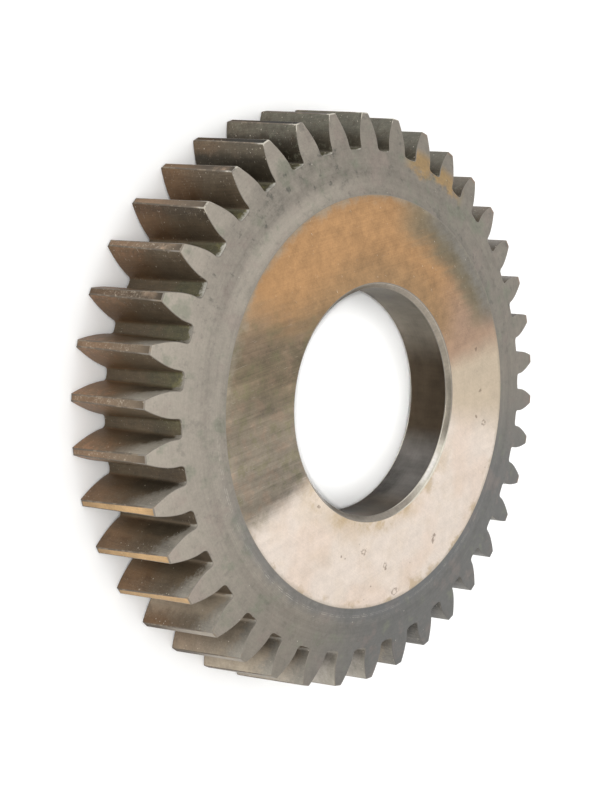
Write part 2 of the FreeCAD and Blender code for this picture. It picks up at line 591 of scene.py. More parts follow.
@dataclass(frozen=True)
class MatteRim(Finish):
    """The unground back rim and the back ends of the teeth."""

    name: str = "matte_rim"
    grey: Colour = tone(134, 127, 116)
    light: Colour = tone(155, 147, 135)
    dark: Colour = tone(109, 108, 105)
    blue: Colour = tone(110, 111, 112)
    straw: Colour = tone(168, 134, 78)
    smudge: Colour = tone(88, 87, 80)
    rose: Colour = tone(146, 130, 122)
    moss: Colour = tone(124, 127, 110)
    rust: Colour = tone(150, 116, 88)
    dust: Colour = tone(208, 202, 190)

    def paint(self) -> bpy.types.Material:
        """Builds the finish's material."""
        p = Painter(self.name)
        cloud = p.noise(2.6, detail=5.0, rough=0.66, seed=3.0) - 0.5
        # Painted light and shade: the rim is lighter towards 262 degrees and darker towards 42 degrees, as
        # light fell on the back cone.
        colour = p.mix(p.facing(262.0, 26.0, 80.0), self.grey, self.light)
        colour = p.mix(p.facing(42.0, 24.0, 64.0), colour, self.dark)
        # Faint rose and moss patches.
        hue = p.noise(4.0, detail=4.0, rough=0.65, seed=14.0)
        colour = p.mix(hue.rise(0.52, 0.66) * 0.35, colour, self.rose)
        colour = p.mix(hue.rise(0.47, 0.34) * 0.6, colour, self.moss)
        # Painted shade: a darker bluish band on the rim just below the reference face's edge. A straw tint
        # near the teeth.
        strayed = p.radius + cloud * 4.0
        band = strayed.rise(31.0, 29.2) * p.facing(0.0, 42.0, 72.0)
        colour = p.mix(band * 0.5, colour, self.blue)
        tint = (p.facing(165.5, 6.0, 13.0) * (p.radius + cloud * 9.0).rise(33.0, 34.6)
                * p.radius.rise(37.4, 35.6))
        colour = p.mix(tint * 0.7, colour, self.straw)
        # A light and a dark turning band, blots and smudges.
        streak = p.noise(0.9, detail=4.0, rough=0.7, seed=21.0) - 0.5
        worn = p.facing(223.0, 20.0, 38.0)
        light_ring = strayed.rise(28.7, 29.4) * strayed.rise(31.3, 30.2) * worn
        dark_ring = strayed.rise(30.8, 31.8) * strayed.rise(36.8, 35.0) * worn
        upper = p.facing(160.0, 40.0, 66.0)
        blots = p.noise(1.5, detail=4.0, rough=0.7, seed=24.0).rise(0.54, 0.68)
        blots = blots * (0.25 + dark_ring * 0.5).larger(upper * 0.5)
        smudge = p.patch((-23.5, -23.0, 14.2), 0.4, 3.4) * streak.rise(-0.06, 0.14)
        sooty = strayed.rise(32.0, 29.4) * p.facing(140.0, 20.0, 42.0) * streak.rise(0.0, 0.16)
        colour = p.mix(blots.larger(smudge * 0.6).larger(sooty * 0.6), colour, self.smudge)
        # Turning marks, a rusty fringe at the tips, scratches and dust.
        rings = p.rings(0.9, seed=4.0, detail=4.0) - 0.5
        fine = p.rings(0.16, seed=6.0, detail=2.0)
        grain = p.noise(0.26, detail=3.0, seed=8.0) - 0.5
        shade = (1.0 + cloud * (0.42 + upper * 0.3) + grain * 0.42 + streak * (0.40 + upper * 0.25)
                 + light_ring * 0.10 - dark_ring * 0.17
                 + rings * p.radius.rise(34.8, 31.5) * 0.55 + (fine - 0.5) * 0.22
                 + (p.radius - 32.0) * p.facing(280.0, 24.0, 48.0) * 0.03)
        colour = p.shaded(colour, shade)
        fringe = (p.radius + streak * 0.8).rise(39.1, 39.7) * p.facing(118.0, 42.0, 62.0)
        colour = p.mix(fringe * 0.6, colour, self.rust)
        scratches = fine.rise(0.56, 0.68) * p.radius.rise(31.6, 29.0) * p.facing(352.0, 50.0, 90.0)
        colour = p.mix(scratches * streak.rise(-0.06, 0.08) * 0.75, colour, self.dust)
        colour = p.mix(p.specks(1.1, 0.12, 0.14, seed=3.0) * 0.6, colour, self.dust)
        colour = p.mix(p.specks(1.5, 0.15, 0.14, seed=5.0) * 0.5, colour, self.smudge)
        rough = 0.56 + grain * 0.20 + cloud * 0.16
        return p.finish(colour, 0.40, rough, grain * 0.9 + fine * 0.5 + streak * 0.6, 0.008)


@dataclass(frozen=True)
class ToothFlank(Finish):
    """The relieved flanks and gap floors, browned and greasy, with painted light where they meet the rim and
    painted shade at the roots.
    """

    name: str = "browned_flank"
    front_tip_radius: float = 41.12
    relief_slope: float = math.tan(math.radians(6.0))
    back_slope: float = math.tan(math.radians(10.5))
    reference_radius: float = 28.6
    height: float = 15.0
    brown: Colour = tone(98, 85, 68)
    warm: Colour = tone(116, 89, 62)
    slate: Colour = tone(104, 102, 90)
    dark: Colour = tone(80, 69, 54)
    soot_and_shade: Colour = tone(64, 57, 45)
    peat: Colour = tone(84, 71, 54)
    ash: Colour = tone(98, 96, 91)
    earth: Colour = tone(96, 82, 62)
    olive: Colour = tone(88, 83, 60)
    lichen: Colour = tone(118, 113, 76)
    mould: Colour = tone(122, 122, 104)
    rust: Colour = tone(146, 108, 78)
    pale: Colour = tone(174, 161, 142)
    silver: Colour = tone(158, 153, 146)
    bare: Colour = tone(146, 140, 129)
    bright: Colour = tone(206, 203, 192)
    dust: Colour = tone(212, 200, 182)

    def paint(self) -> bpy.types.Material:
        """Builds the finish's material."""
        p = Painter(self.name)
        from_rim = (self.height + self.back_slope * self.reference_radius) - p.radius * self.back_slope - p.z
        from_tip = self.front_tip_radius - p.z * self.relief_slope - p.radius
        across, outward = p.turned_to()
        leading = across.rise(-0.15, -0.55)
        floor = outward.rise(0.55, 0.88)
        cloud = p.noise(2.0, detail=5.0, rough=0.62, seed=2.0)
        drift = cloud - 0.5
        # Brown, warmer towards the cutting end, slate towards -X, darker at the root.
        colour = p.mix((p.z + drift * 8.0).rise(9.0, 1.5), self.brown, self.warm)
        colour = p.mix(p.facing(187.0, 14.0, 40.0) * 0.85, colour, self.slate)
        sides = 1.0 - floor
        # Painted shade, with some soot, in the roots of the gaps: deepest towards 213 degrees, and blotchy by
        # the rim towards 288 degrees.
        root_shade = (from_tip + drift * 3.0).rise(1.6, 3.4) * sides
        colour = p.mix(root_shade * (1.0 - p.facing(250.0, 20.0, 34.0)) * 0.5, colour, self.dark)
        deep_root_shade = (from_tip + drift * 3.0).rise(1.0, 2.2) * sides
        colour = p.mix(deep_root_shade * p.facing(213.0, 7.0, 14.0), colour, self.soot_and_shade)
        root_shade_by_rim = (from_rim + drift * 10.0).rise(8.5, 4.0) * (from_tip + drift * 4.0).rise(1.6, 3.0) * sides
        colour = p.mix(root_shade_by_rim * p.facing(288.0, 15.0, 22.0) * leading * 0.75, colour, self.soot_and_shade)
        colour = p.mix(p.facing(62.0, 38.0, 62.0) * 0.9, colour, self.ash)
        # Painted reflections: pale leading flanks towards 356 and 324 degrees, and silver ones towards 1
        # degree.
        pale = p.facing(356.0, 16.0, 33.0) * leading * (from_tip + drift * 4.0).rise(7.0, 1.2)
        pale = pale.larger(p.facing(324.0, 3.0, 9.0) * leading * (from_tip + drift).rise(0.4, 3.2) * 0.8)
        colour = p.mix(pale * 0.9, colour, self.pale)
        colour = p.mix(p.facing(1.0, 6.0, 15.0) * leading * 0.8, colour, self.silver)
        blotch = p.noise(0.9, detail=4.0, rough=0.7, seed=55.0)
        upper = p.facing(178.0, 30.0, 46.0)
        colour = p.mix(blotch.rise(0.52, 0.64) * upper * 0.5, colour, self.dark)
        colour = p.mix(blotch.rise(0.46, 0.36) * upper * 0.5, colour, self.mould)
        rusty = p.facing(264.0, 16.0, 34.0) * (p.z + drift * 6.0).rise(9.0, 3.0)
        rusty = rusty * (from_tip + drift * 3.0).rise(2.6, 0.6)
        colour = p.mix(blotch.rise(0.46, 0.58) * rusty * 0.6, colour, self.rust)
        # Gap floors, brown at the cutting end and olive towards the rim.
        open_gaps = p.facing(226.0, 45.0, 58.0)
        by_rim = p.mix(open_gaps, self.peat, self.olive)
        ground = p.mix((from_rim + drift * 12.0).rise(8.0, 2.5), self.earth, by_rim)
        moss = p.noise(1.4, detail=4.0, rough=0.65, seed=18.0)
        mossy = moss.rise(0.48, 0.60) * (from_rim + drift * 8.0).rise(5.0, 0.8)
        ground = p.mix(mossy * open_gaps * 0.8, ground, self.lichen)
        colour = p.mix(floor * (1.0 - p.facing(40.0, 60.0, 84.0)), colour, ground)
        # Lighter steel next to the rim, wide and ragged on the flanks that face back round the disc: partly
        # bare steel, partly painted light on the near ends that caught the light.
        grain = p.noise(0.3, detail=3.0, seed=4.0) - 0.5
        ragged = p.noise(0.7, detail=5.0, rough=0.75, seed=36.0) - 0.5
        open_floor = floor * open_gaps
        tip_reach = 2.4 + p.facing(279.0, 8.0, 20.0) * 2.4
        reach = 0.10 + leading * (1.6 + from_tip.rise(3.6, 0.6) * tip_reach) + open_floor * 0.7
        strayed = from_rim + (drift * 3.0 + ragged * 5.0) * (leading + open_floor * 0.5)
        bare = (strayed / reach).rise(1.0, 0.2)
        colour = p.mix(bare, colour, self.bare)
        # Painted highlight: a bright crescent on the open gap floors next to the rim.
        lit_floor_crescent = open_floor * (from_rim + ragged * 3.0).rise(0.9, 0.3) * p.facing(208.0, 30.0, 56.0)
        colour = p.mix(lit_floor_crescent * 0.8, colour, self.bright)
        # Cutting marks along the teeth, grease and dust.
        marks = p.along(0.13, 7.0, seed=3.0)
        smooth = p.facing(345.0, 18.0, 32.0) * leading
        # The shade also paints light: a painted reflection of the next land on the flanks towards 312
        # degrees, painted shade on the flanks towards 39 degrees, and painted shade at the roots with light
        # at the tips towards 352 degrees.
        shade = (1.0 + drift * 0.95 + (marks - 0.5) * (0.85 - smooth * 0.5) + grain * 0.55 + ragged * 0.4
                 + p.facing(278.0, 8.0, 16.0) * sides * 0.35
                 + (from_tip + drift * 3.0).rise(1.2, 2.4) * p.facing(312.0, 11.0, 16.0) * leading * 0.45
                 + p.facing(1.0, 4.0, 9.0) * leading * 0.25 - p.facing(39.0, 16.0, 26.0) * leading * 0.5
                 + ((from_tip.rise(1.6, 0.6) - from_tip.rise(2.4, 3.8))
                    * p.facing(352.0, 16.0, 26.0) * leading * 0.16)
                 - from_tip.rise(2.2, 0.6) * p.facing(236.0, 4.0, 8.0) * sides * 0.4)
        colour = p.shaded(colour, shade)
        fine = p.specks(0.50, 0.11, 0.42, seed=1.0) * (from_tip + drift * 6.0).rise(2.6, 0.3)
        loose = p.specks(0.85, 0.13, 0.26, seed=7.0).larger(p.specks(0.7, 0.14, 0.3, seed=10.0) * upper)
        rim_dust = p.specks(0.5, 0.13, 0.35, seed=9.0) * (from_rim + drift * 4.0).rise(0.9, 0.1)
        hair = p.stretched(35.0, 1.6, 0.10, seed=31.0, detail=1.0).rise(0.67, 0.75)
        powder = p.noise(0.5, detail=4.0, rough=0.75, seed=33.0).rise(0.58, 0.74)
        powder = powder * (from_tip + drift * 5.0).rise(3.0, 0.3)
        colour = p.mix(powder * (0.32 + p.facing(262.0, 18.0, 40.0) * 0.4), colour, self.dust)
        colour = p.mix(fine.larger(loose).larger(rim_dust).larger(hair * 0.7) * 0.7, colour, self.dust)
        rough = 0.48 + drift * 0.25 + grain * 0.1
        return p.finish(colour, 0.35, rough, marks * 0.8 + grain * 0.6 + cloud * 0.5, 0.008)


@dataclass(frozen=True)
class TipLand(Finish):
    """The relieved tip lands, rubbed bright in places, with painted reflections on the lands that face 300 to
    345 degrees.
    """

    name: str = "tip_land"
    brown: Colour = tone(112, 98, 82)
    warm: Colour = tone(122, 99, 78)
    dark: Colour = tone(56, 52, 45)
    umber: Colour = tone(82, 62, 40)
    dun: Colour = tone(92, 83, 72)
    peach: Colour = tone(176, 150, 126)
    gold: Colour = tone(196, 162, 118)
    pale: Colour = tone(170, 160, 146)
    silver: Colour = tone(196, 188, 178)
    grey: Colour = tone(126, 120, 112)
    dust: Colour = tone(216, 202, 182)

    def paint(self) -> bpy.types.Material:
        """Builds the finish's material."""
        p = Painter(self.name)
        cloud = p.noise(1.8, detail=5.0, rough=0.62, seed=5.0)
        each = p.noise(4.4, detail=1.0, seed=23.0)
        colour = p.mix((p.z + (cloud - 0.5) * 9.0).rise(3.0, 10.5), self.warm, self.brown)
        dull = p.facing(213.0, 10.0, 18.0)
        colour = p.mix(dull, colour, p.mix(p.z.rise(3.0, 8.0), self.umber, self.dark))
        colour = p.mix(p.facing(90.0, 70.0, 112.0), colour, self.grey)
        # Painted reflections: gold and pale lands towards 303 to 344 degrees, where they mirrored bright
        # surroundings; the pale tone also goes on the lands towards 185 degrees, and silver on those towards
        # 3 degrees.
        colour = p.mix(p.facing(303.5, 9.0, 19.0) * (0.55 + p.z.rise(0.0, 5.0) * 0.45), colour, self.gold)
        colour = p.mix(p.facing(340.0, 16.0, 25.0) * 0.8, colour, self.dun)
        bright = (p.facing(324.0, 6.0, 12.0) + p.facing(344.0, 5.0, 11.0) * 0.8
                  + p.facing(185.0, 4.0, 11.0) * 0.8)
        colour = p.mix(p.facing(3.0, 5.0, 10.0) * p.z.rise(8.0, 3.0), colour, self.silver)
        colour = p.mix(bright * p.z.rise(2.0, 9.0) * 0.85, colour, self.pale)
        grain = p.noise(0.25, detail=3.0, seed=1.0)
        strayed = p.z + (cloud - 0.5) * 3.0 + (grain - 0.5) * 2.0
        rubbed = cloud.rise(0.36, 0.54) * each.rise(0.42, 0.56) * p.facing(241.0, 9.0, 22.0)
        colour = p.mix(strayed.rise(9.2, 10.2) * strayed.rise(12.2, 11.4) * rubbed * 0.75, colour, self.peach)
        end = strayed.rise(11.0, 13.0) * p.facing(250.0, 30.0, 44.0)
        colour = p.mix(end * 0.40, colour, self.dark)
        marks = p.along(0.16, 5.0, seed=8.0)
        shade = (1.0 + (cloud - 0.5) * 0.80 + (grain - 0.5) * 0.50 + (marks - 0.5) * 0.45
                 + (each - 0.5) * 0.7 - p.facing(255.0, 3.0, 7.0) * 0.4 + p.facing(274.0, 3.0, 14.0) * 0.25
                 - p.facing(351.0, 4.0, 9.0) * (0.2 + p.z.rise(8.0, 4.0) * 0.6)
                 - p.facing(326.0, 3.0, 9.0) * p.z.rise(8.0, 4.0) * 0.3 - p.facing(210.0, 10.0, 16.0) * 0.3
                 + p.facing(180.0, 10.0, 16.0) * 0.22 + p.facing(240.0, 12.0, 18.0) * p.z.rise(8.0, 4.0) * 0.3
                 + p.facing(284.0, 3.0, 7.0) * 0.2)
        colour = p.shaded(colour, shade)
        colour = p.mix(p.specks(0.6, 0.13, 0.28, seed=4.0) * 0.6, colour, self.dust)
        grit = p.noise(0.34, detail=4.0, rough=0.8, seed=26.0).rise(0.50, 0.68) * p.facing(263.0, 16.0, 30.0)
        colour = p.mix(grit * p.z.rise(12.5, 9.0) * 0.5, colour, self.dust)
        rough = 0.50 + (cloud - 0.5) * 0.2 + dull * 0.3
        return p.finish(colour, 0.5 - dull * 0.4, rough, grain + marks * 0.5, 0.005, sheen=0.3)


@dataclass(frozen=True)
class BoreWall(Finish):
    """The lapped bore, with painted reflections of dark surroundings for its dark tones."""

    name: str = "dark_reflecting_bore"
    dark: Colour = tone(68, 58, 46)
    grey: Colour = tone(111, 104, 93)
    slate: Colour = tone(82, 74, 65)
    light: Colour = tone(112, 109, 106)
    rosy: Colour = tone(96, 86, 74)
    dust: Colour = tone(170, 160, 146)
    spot: Colour = tone(38, 34, 30)

    def paint(self) -> bpy.types.Material:
        """Builds the finish's material."""
        p = Painter(self.name)
        cloud = p.noise(3.2, detail=5.0, rough=0.62, seed=6.0) - 0.5
        # Painted reflections: the wall is dark where it mirrored dark surroundings, with a lighter band
        # towards 54 degrees.
        colour = p.mix(p.facing(168.0, 22.0, 56.0), self.dark, self.grey)
        colour = p.mix(p.facing(22.0, 32.0, 60.0), colour, self.slate)
        colour = p.mix(p.facing(54.0, 0.0, 27.0) * 0.75, colour, self.light)
        colour = p.mix(p.facing(-8.0, 6.0, 24.0), colour, self.rosy)
        hone = p.rings(0.14, seed=2.0) - 0.5
        upright = p.along(0.5, 6.0, seed=12.0) - 0.5
        wide = p.along(1.8, 9.0, seed=16.0) - 0.5
        # The shade also darkens the lower wall towards 14 degrees with painted shade.
        shade = (1.0 + cloud * 1.5 + hone * 0.35 + upright * 0.3 + wide * 0.4
                 - p.z.rise(12.6, 8.4) * p.facing(14.0, 30.0, 60.0) * 0.6)
        colour = p.shaded(colour, shade)
        colour = p.mix(p.specks(1.5, 0.14, 0.18, seed=13.0) * 0.5, colour, self.dust)
        colour = p.mix(p.specks(3.1, 0.30, 0.16, seed=15.0) * 0.7, colour, self.spot)
        metal = 0.3 - p.facing(8.0, 18.0, 40.0) * 0.28
        return p.finish(colour, metal, 0.50 + cloud * 0.3, hone + upright * 0.2, 0.003, sheen=0.04)


@dataclass(frozen=True)
class BoreChamfer(Finish):
    """The ground chamfers of the bore."""

    name: str = "bore_chamfer"
    grey: Colour = tone(150, 141, 127)
    dark: Colour = tone(150, 142, 131)
    bright: Colour = tone(204, 198, 184)
    white: Colour = tone(244, 240, 234)
    shade: Colour = tone(106, 100, 89)
    warm: Colour = tone(162, 152, 138)

    def paint(self) -> bpy.types.Material:
        """Builds the finish's material."""
        p = Painter(self.name)
        cloud = p.noise(1.6, detail=5.0, rough=0.62, seed=7.0)
        colour = p.mix(p.facing(5.0, 20.0, 44.0), self.grey, self.dark)
        colour = p.mix(p.facing(165.0, 20.0, 50.0), colour, self.warm)
        # Painted highlights: a bright band and a white glint towards 57 to 60 degrees, where the chamfer
        # caught the light.
        colour = p.mix(p.facing(60.0, 12.0, 28.0) * 0.9, colour, self.bright)
        glint = p.facing(57.0, 4.0, 12.0) * (p.radius + (cloud - 0.5) * 0.5).rise(16.5, 16.1)
        colour = p.mix(glint * 0.9, colour, self.white)
        colour = p.mix(p.facing(-55.0, 16.0, 32.0) * 0.9, colour, self.white)
        colour = p.mix(p.facing(91.0, 8.0, 22.0), colour, self.shade)
        hone = p.rings(0.09, seed=5.0)
        grain = p.noise(0.35, detail=3.0, seed=17.0)
        borders = p.radius.rise(16.42, 16.52) + p.radius.rise(15.98, 15.90)
        shade = (0.94 + (cloud - 0.5) * 0.7 + (hone - 0.5) * 0.35 + (grain - 0.5) * 0.6
                 + borders * (grain * 0.8 + 0.1) * (1.0 - p.facing(0.0, 20.0, 40.0)))
        colour = p.shaded(colour, shade)
        return p.finish(colour, 0.65, 0.34 + (cloud - 0.5) * 0.15, hone + grain, 0.003)


@dataclass(frozen=True)
class RakeFace(Finish):
    """The ground hollow of the cutting face."""

    name: str = "ground_rake_face"
    steel: Colour = tone(178, 171, 160)
    straw: Colour = tone(170, 148, 118)
    dull: Colour = tone(132, 126, 116)
    pit: Colour = tone(86, 70, 54)

    def paint(self) -> bpy.types.Material:
        """Builds the finish's material."""
        p = Painter(self.name)
        cloud = p.noise(6.0, detail=5.0, rough=0.6, seed=8.0)
        colour = p.mix(cloud.rise(0.5, 0.72), self.steel, self.straw)
        colour = p.mix((p.radius + (cloud - 0.5) * 3.0).rise(36.0, 40.8) * 0.6, colour, self.dull)
        rings = p.rings(0.14, seed=7.0)
        broad = p.rings(0.8, seed=9.0)
        grain = p.noise(0.5, detail=3.0, seed=19.0)
        shade = 1.0 + (cloud - 0.5) * 0.25 + (rings - 0.5) * 0.45 + (broad - 0.5) * 0.2 + (grain - 0.5) * 0.12
        colour = p.shaded(colour, shade)
        pits = p.specks(1.8, 0.14, 0.15, seed=9.0)
        colour = p.mix(pits * 0.6, colour, self.pit)
        rough = 0.34 + (rings - 0.5) * 0.14 + (cloud - 0.5) * 0.1
        return p.finish(colour, 0.65, rough, rings + broad * 0.5, 0.004)


@dataclass(frozen=True)
class TurnedRecess(Finish):
    """The turned nut recess, left as it was hardened."""

    name: str = "turned_recess"
    scale: Colour = tone(92, 84, 73)
    grey: Colour = tone(130, 123, 113)
    brown: Colour = tone(104, 86, 67)
    dust: Colour = tone(180, 168, 150)

    def paint(self) -> bpy.types.Material:
        """Builds the finish's material."""
        p = Painter(self.name)
        cloud = p.noise(4.5, detail=5.0, rough=0.62, seed=10.0)
        colour = p.mix(cloud.rise(0.36, 0.64), self.scale, self.grey)
        colour = p.mix(p.noise(2.6, detail=4.0, seed=12.0).rise(0.54, 0.74) * 0.7, colour, self.brown)
        rings = p.rings(0.24, seed=11.0)
        grain = p.noise(0.4, detail=3.0, seed=20.0)
        shade = 1.0 + (rings - 0.5) * 0.5 + (grain - 0.5) * 0.25
        colour = p.shaded(colour, shade)
        colour = p.mix(p.specks(1.4, 0.12, 0.16, seed=22.0) * 0.5, colour, self.dust)
        return p.finish(colour, 0.5, 0.48 + (cloud - 0.5) * 0.2, rings + grain * 0.5, 0.010)


@dataclass(frozen=True)
class EasedEdge(Finish):
    """The thin worn edges, each as bright as wear and light have left it."""

    name: str = "eased_edge"
    front_tip_radius: float = 41.12
    relief_slope: float = math.tan(math.radians(6.0))
    rim: Colour = tone(136, 129, 119)
    worn: Colour = tone(140, 126, 108)
    dull: Colour = tone(98, 86, 72)
    bright: Colour = tone(206, 200, 186)
    shaded: Colour = tone(106, 104, 100)

    def paint(self) -> bpy.types.Material:
        """Builds the finish's material."""
        p = Painter(self.name)
        from_tip = self.front_tip_radius - p.z * self.relief_slope - p.radius
        cloud = p.noise(1.1, detail=4.0, rough=0.65, seed=27.0)
        colour = p.mix(from_tip.rise(0.9, 0.4) * cloud.rise(0.46, 0.60), self.rim, self.worn)
        brown = p.z.rise(11.8, 10.5) * from_tip.rise(4.0, 3.0) * cloud.rise(0.62, 0.50)
        colour = p.mix(brown * 0.8, colour, self.dull)
        # Painted highlights on the bore edge towards 54 degrees, and painted glints on the near tooth corners
        # towards 208 degrees.
        colour = p.mix(p.radius.rise(17.6, 17.0) * p.facing(54.0, 20.0, 38.0), colour, self.bright)
        colour = p.mix(p.radius.rise(33.0, 34.0) * p.facing(46.0, 30.0, 46.0), colour, self.shaded)
        corner = p.facing(208.0, 24.0, 36.0) * from_tip.rise(1.1, 0.4) * p.z.rise(11.4, 12.2)
        colour = p.mix(corner * cloud.rise(0.42, 0.54), colour, self.bright)
        grain = p.noise(0.2, detail=3.0, seed=28.0)
        colour = p.shaded(colour, 1.0 + (grain - 0.5) * 0.4 + (cloud - 0.5) * 0.3)
        return p.finish(colour, 0.4, 0.48 + (cloud - 0.5) * 0.2, grain, 0.003)


def finishes() -> list[bpy.types.Material]:
    """One material for every zone, in the zones' order."""
    return [finish.paint() for finish in (
        GroundReference(), MatteRim(), ToothFlank(), TipLand(), BoreWall(),
        BoreChamfer(), RakeFace(), TurnedRecess(), EasedEdge())]


# Shapes

def deselect() -> None:
    """Leaves object mode with nothing selected."""
    if bpy.context.object is not None and bpy.context.object.mode != "OBJECT":
        bpy.ops.object.mode_set(mode="OBJECT")
    bpy.ops.object.select_all(action="DESELECT")


def joined(pieces: list[bpy.types.Object], name: str) -> bpy.types.Object:
    """Joins meshes into one.

    Args:
        pieces: The meshes.
        name: Name of the result.

    Returns:
        The joined object.
    """
    deselect()
    for piece in pieces:
        piece.select_set(True)
    bpy.context.view_layer.objects.active = pieces[0]
    bpy.ops.object.join()
    pieces[0].name = pieces[0].data.name = name
    return pieces[0]


@dataclass(frozen=True)
class ToothForm:
    """The tooth system: involute flanks that thin towards the reference face."""

    module: float = 2.0
    count: int = 38
    pressure_angle: float = 20.0
    front_shift: float = 0.31
    tip_factor: float = 1.25
    depth_factor: float = 2.5
    root_fillet: float = 0.55
    relief_angle: float = 6.0

    @property
    def pitch(self) -> float:
        """Angle from one tooth to the next."""
        return 2.0 * math.pi / self.count

    @property
    def pitch_radius(self) -> float:
        """Radius of the pitch circle."""
        return self.module * self.count / 2.0

    @property
    def base_radius(self) -> float:
        """Radius of the circle that the involutes unwind from."""
        return self.pitch_radius * math.cos(math.radians(self.pressure_angle))

    @property
    def front_tip_radius(self) -> float:
        """Tip radius at the cutting edges."""
        return self.pitch_radius + (self.tip_factor + self.front_shift) * self.module

    @property
    def relief_slope(self) -> float:
        """Fall of the tip radius for each millimetre towards the reference face."""
        return math.tan(math.radians(self.relief_angle))

    def tip_radius(self, z: float) -> float:
        """Radius of the tip cone at height z."""
        return self.front_tip_radius - self.relief_slope * z

    def root_radius(self, z: float) -> float:
        """Radius of the gap floors at height z."""
        return self.tip_radius(z) - self.depth_factor * self.module

    def half_angle(self, radius: float, z: float) -> float:
        """Half of one tooth's angular thickness.

        Args:
            radius: Where it is measured.
            z: Height.

        Returns:
            The angle in radians.
        """
        flat = math.radians(self.pressure_angle)
        shift = self.front_shift - self.relief_slope * z / self.module
        thickness = self.module * (math.pi / 2.0 + 2.0 * shift * math.tan(flat))
        angle = thickness / (2.0 * self.pitch_radius) + math.tan(flat) - flat
        if radius > self.base_radius:
            rolled = math.acos(self.base_radius / radius)
            angle -= math.tan(rolled) - rolled
        return angle

    def flank_point(self, radius: float, z: float) -> Vector:
        """Point of the upper flank of the tooth on the X axis."""
        angle = self.half_angle(radius, z)
        return Vector((radius * math.cos(angle), radius * math.sin(angle)))

    def fillet_seat(self, z: float) -> tuple[float, float]:
        """Where a gap's root fillet sits.

        Args:
            z: Height.

        Returns:
            The angle of its centre, and the radius where it meets the flank.
        """
        root = self.root_radius(z)
        low = self.half_angle(root, z)
        high = low + 4.0 * self.root_fillet / root
        angle, meeting = low, root
        for _ in range(50):
            angle = 0.5 * (low + high)
            away = root + self.root_fillet
            centre = Vector((away * math.cos(angle), away * math.sin(angle)))
            inner, outer = root, root + 3.0 * self.root_fillet
            for _ in range(50):
                a, b = inner + (outer - inner) * 0.382, inner + (outer - inner) * 0.618
                if (self.flank_point(a, z) - centre).length < (self.flank_point(b, z) - centre).length:
                    outer = b
                else:
                    inner = a
            meeting = 0.5 * (inner + outer)
            if (self.flank_point(meeting, z) - centre).length < self.root_fillet:
                low = angle
            else:
                high = angle
        return angle, meeting

    def half_outline(self, z: float, floor: int, fillet: int, flank: int, land: int) -> list[Vector]:
        """Outline from the middle of a gap to the middle of the tooth on the X axis.

        Args:
            z: Height.
            floor: Spans along the half gap floor.
            fillet: Spans round the root fillet.
            flank: Spans up the flank.
            land: Spans across the half tip land.

        Returns:
            The points, in order.
        """
        root, top = self.root_radius(z), self.tip_radius(z)
        seat, meeting = self.fillet_seat(z)
        points = []
        for i in range(floor):
            angle = self.pitch / 2.0 + (seat - self.pitch / 2.0) * i / floor
            points.append(Vector((root * math.cos(angle), root * math.sin(angle))))
        centre = Vector((math.cos(seat), math.sin(seat))) * (root + self.root_fillet)
        start = Vector((-math.cos(seat), -math.sin(seat)))
        sweep = start.angle_signed(self.flank_point(meeting, z) - centre)
        for i in range(fillet):
            points.append(centre + Matrix.Rotation(-sweep * i / fillet, 2) @ start * self.root_fillet)
        for i in range(flank + 1):
            points.append(self.flank_point(meeting + (top - meeting) * i / flank, z))
        corner = self.half_angle(top, z)
        for i in range(1, land + 1):
            angle = corner * (1.0 - i / land)
            points.append(Vector((top * math.cos(angle), top * math.sin(angle))))
        return points


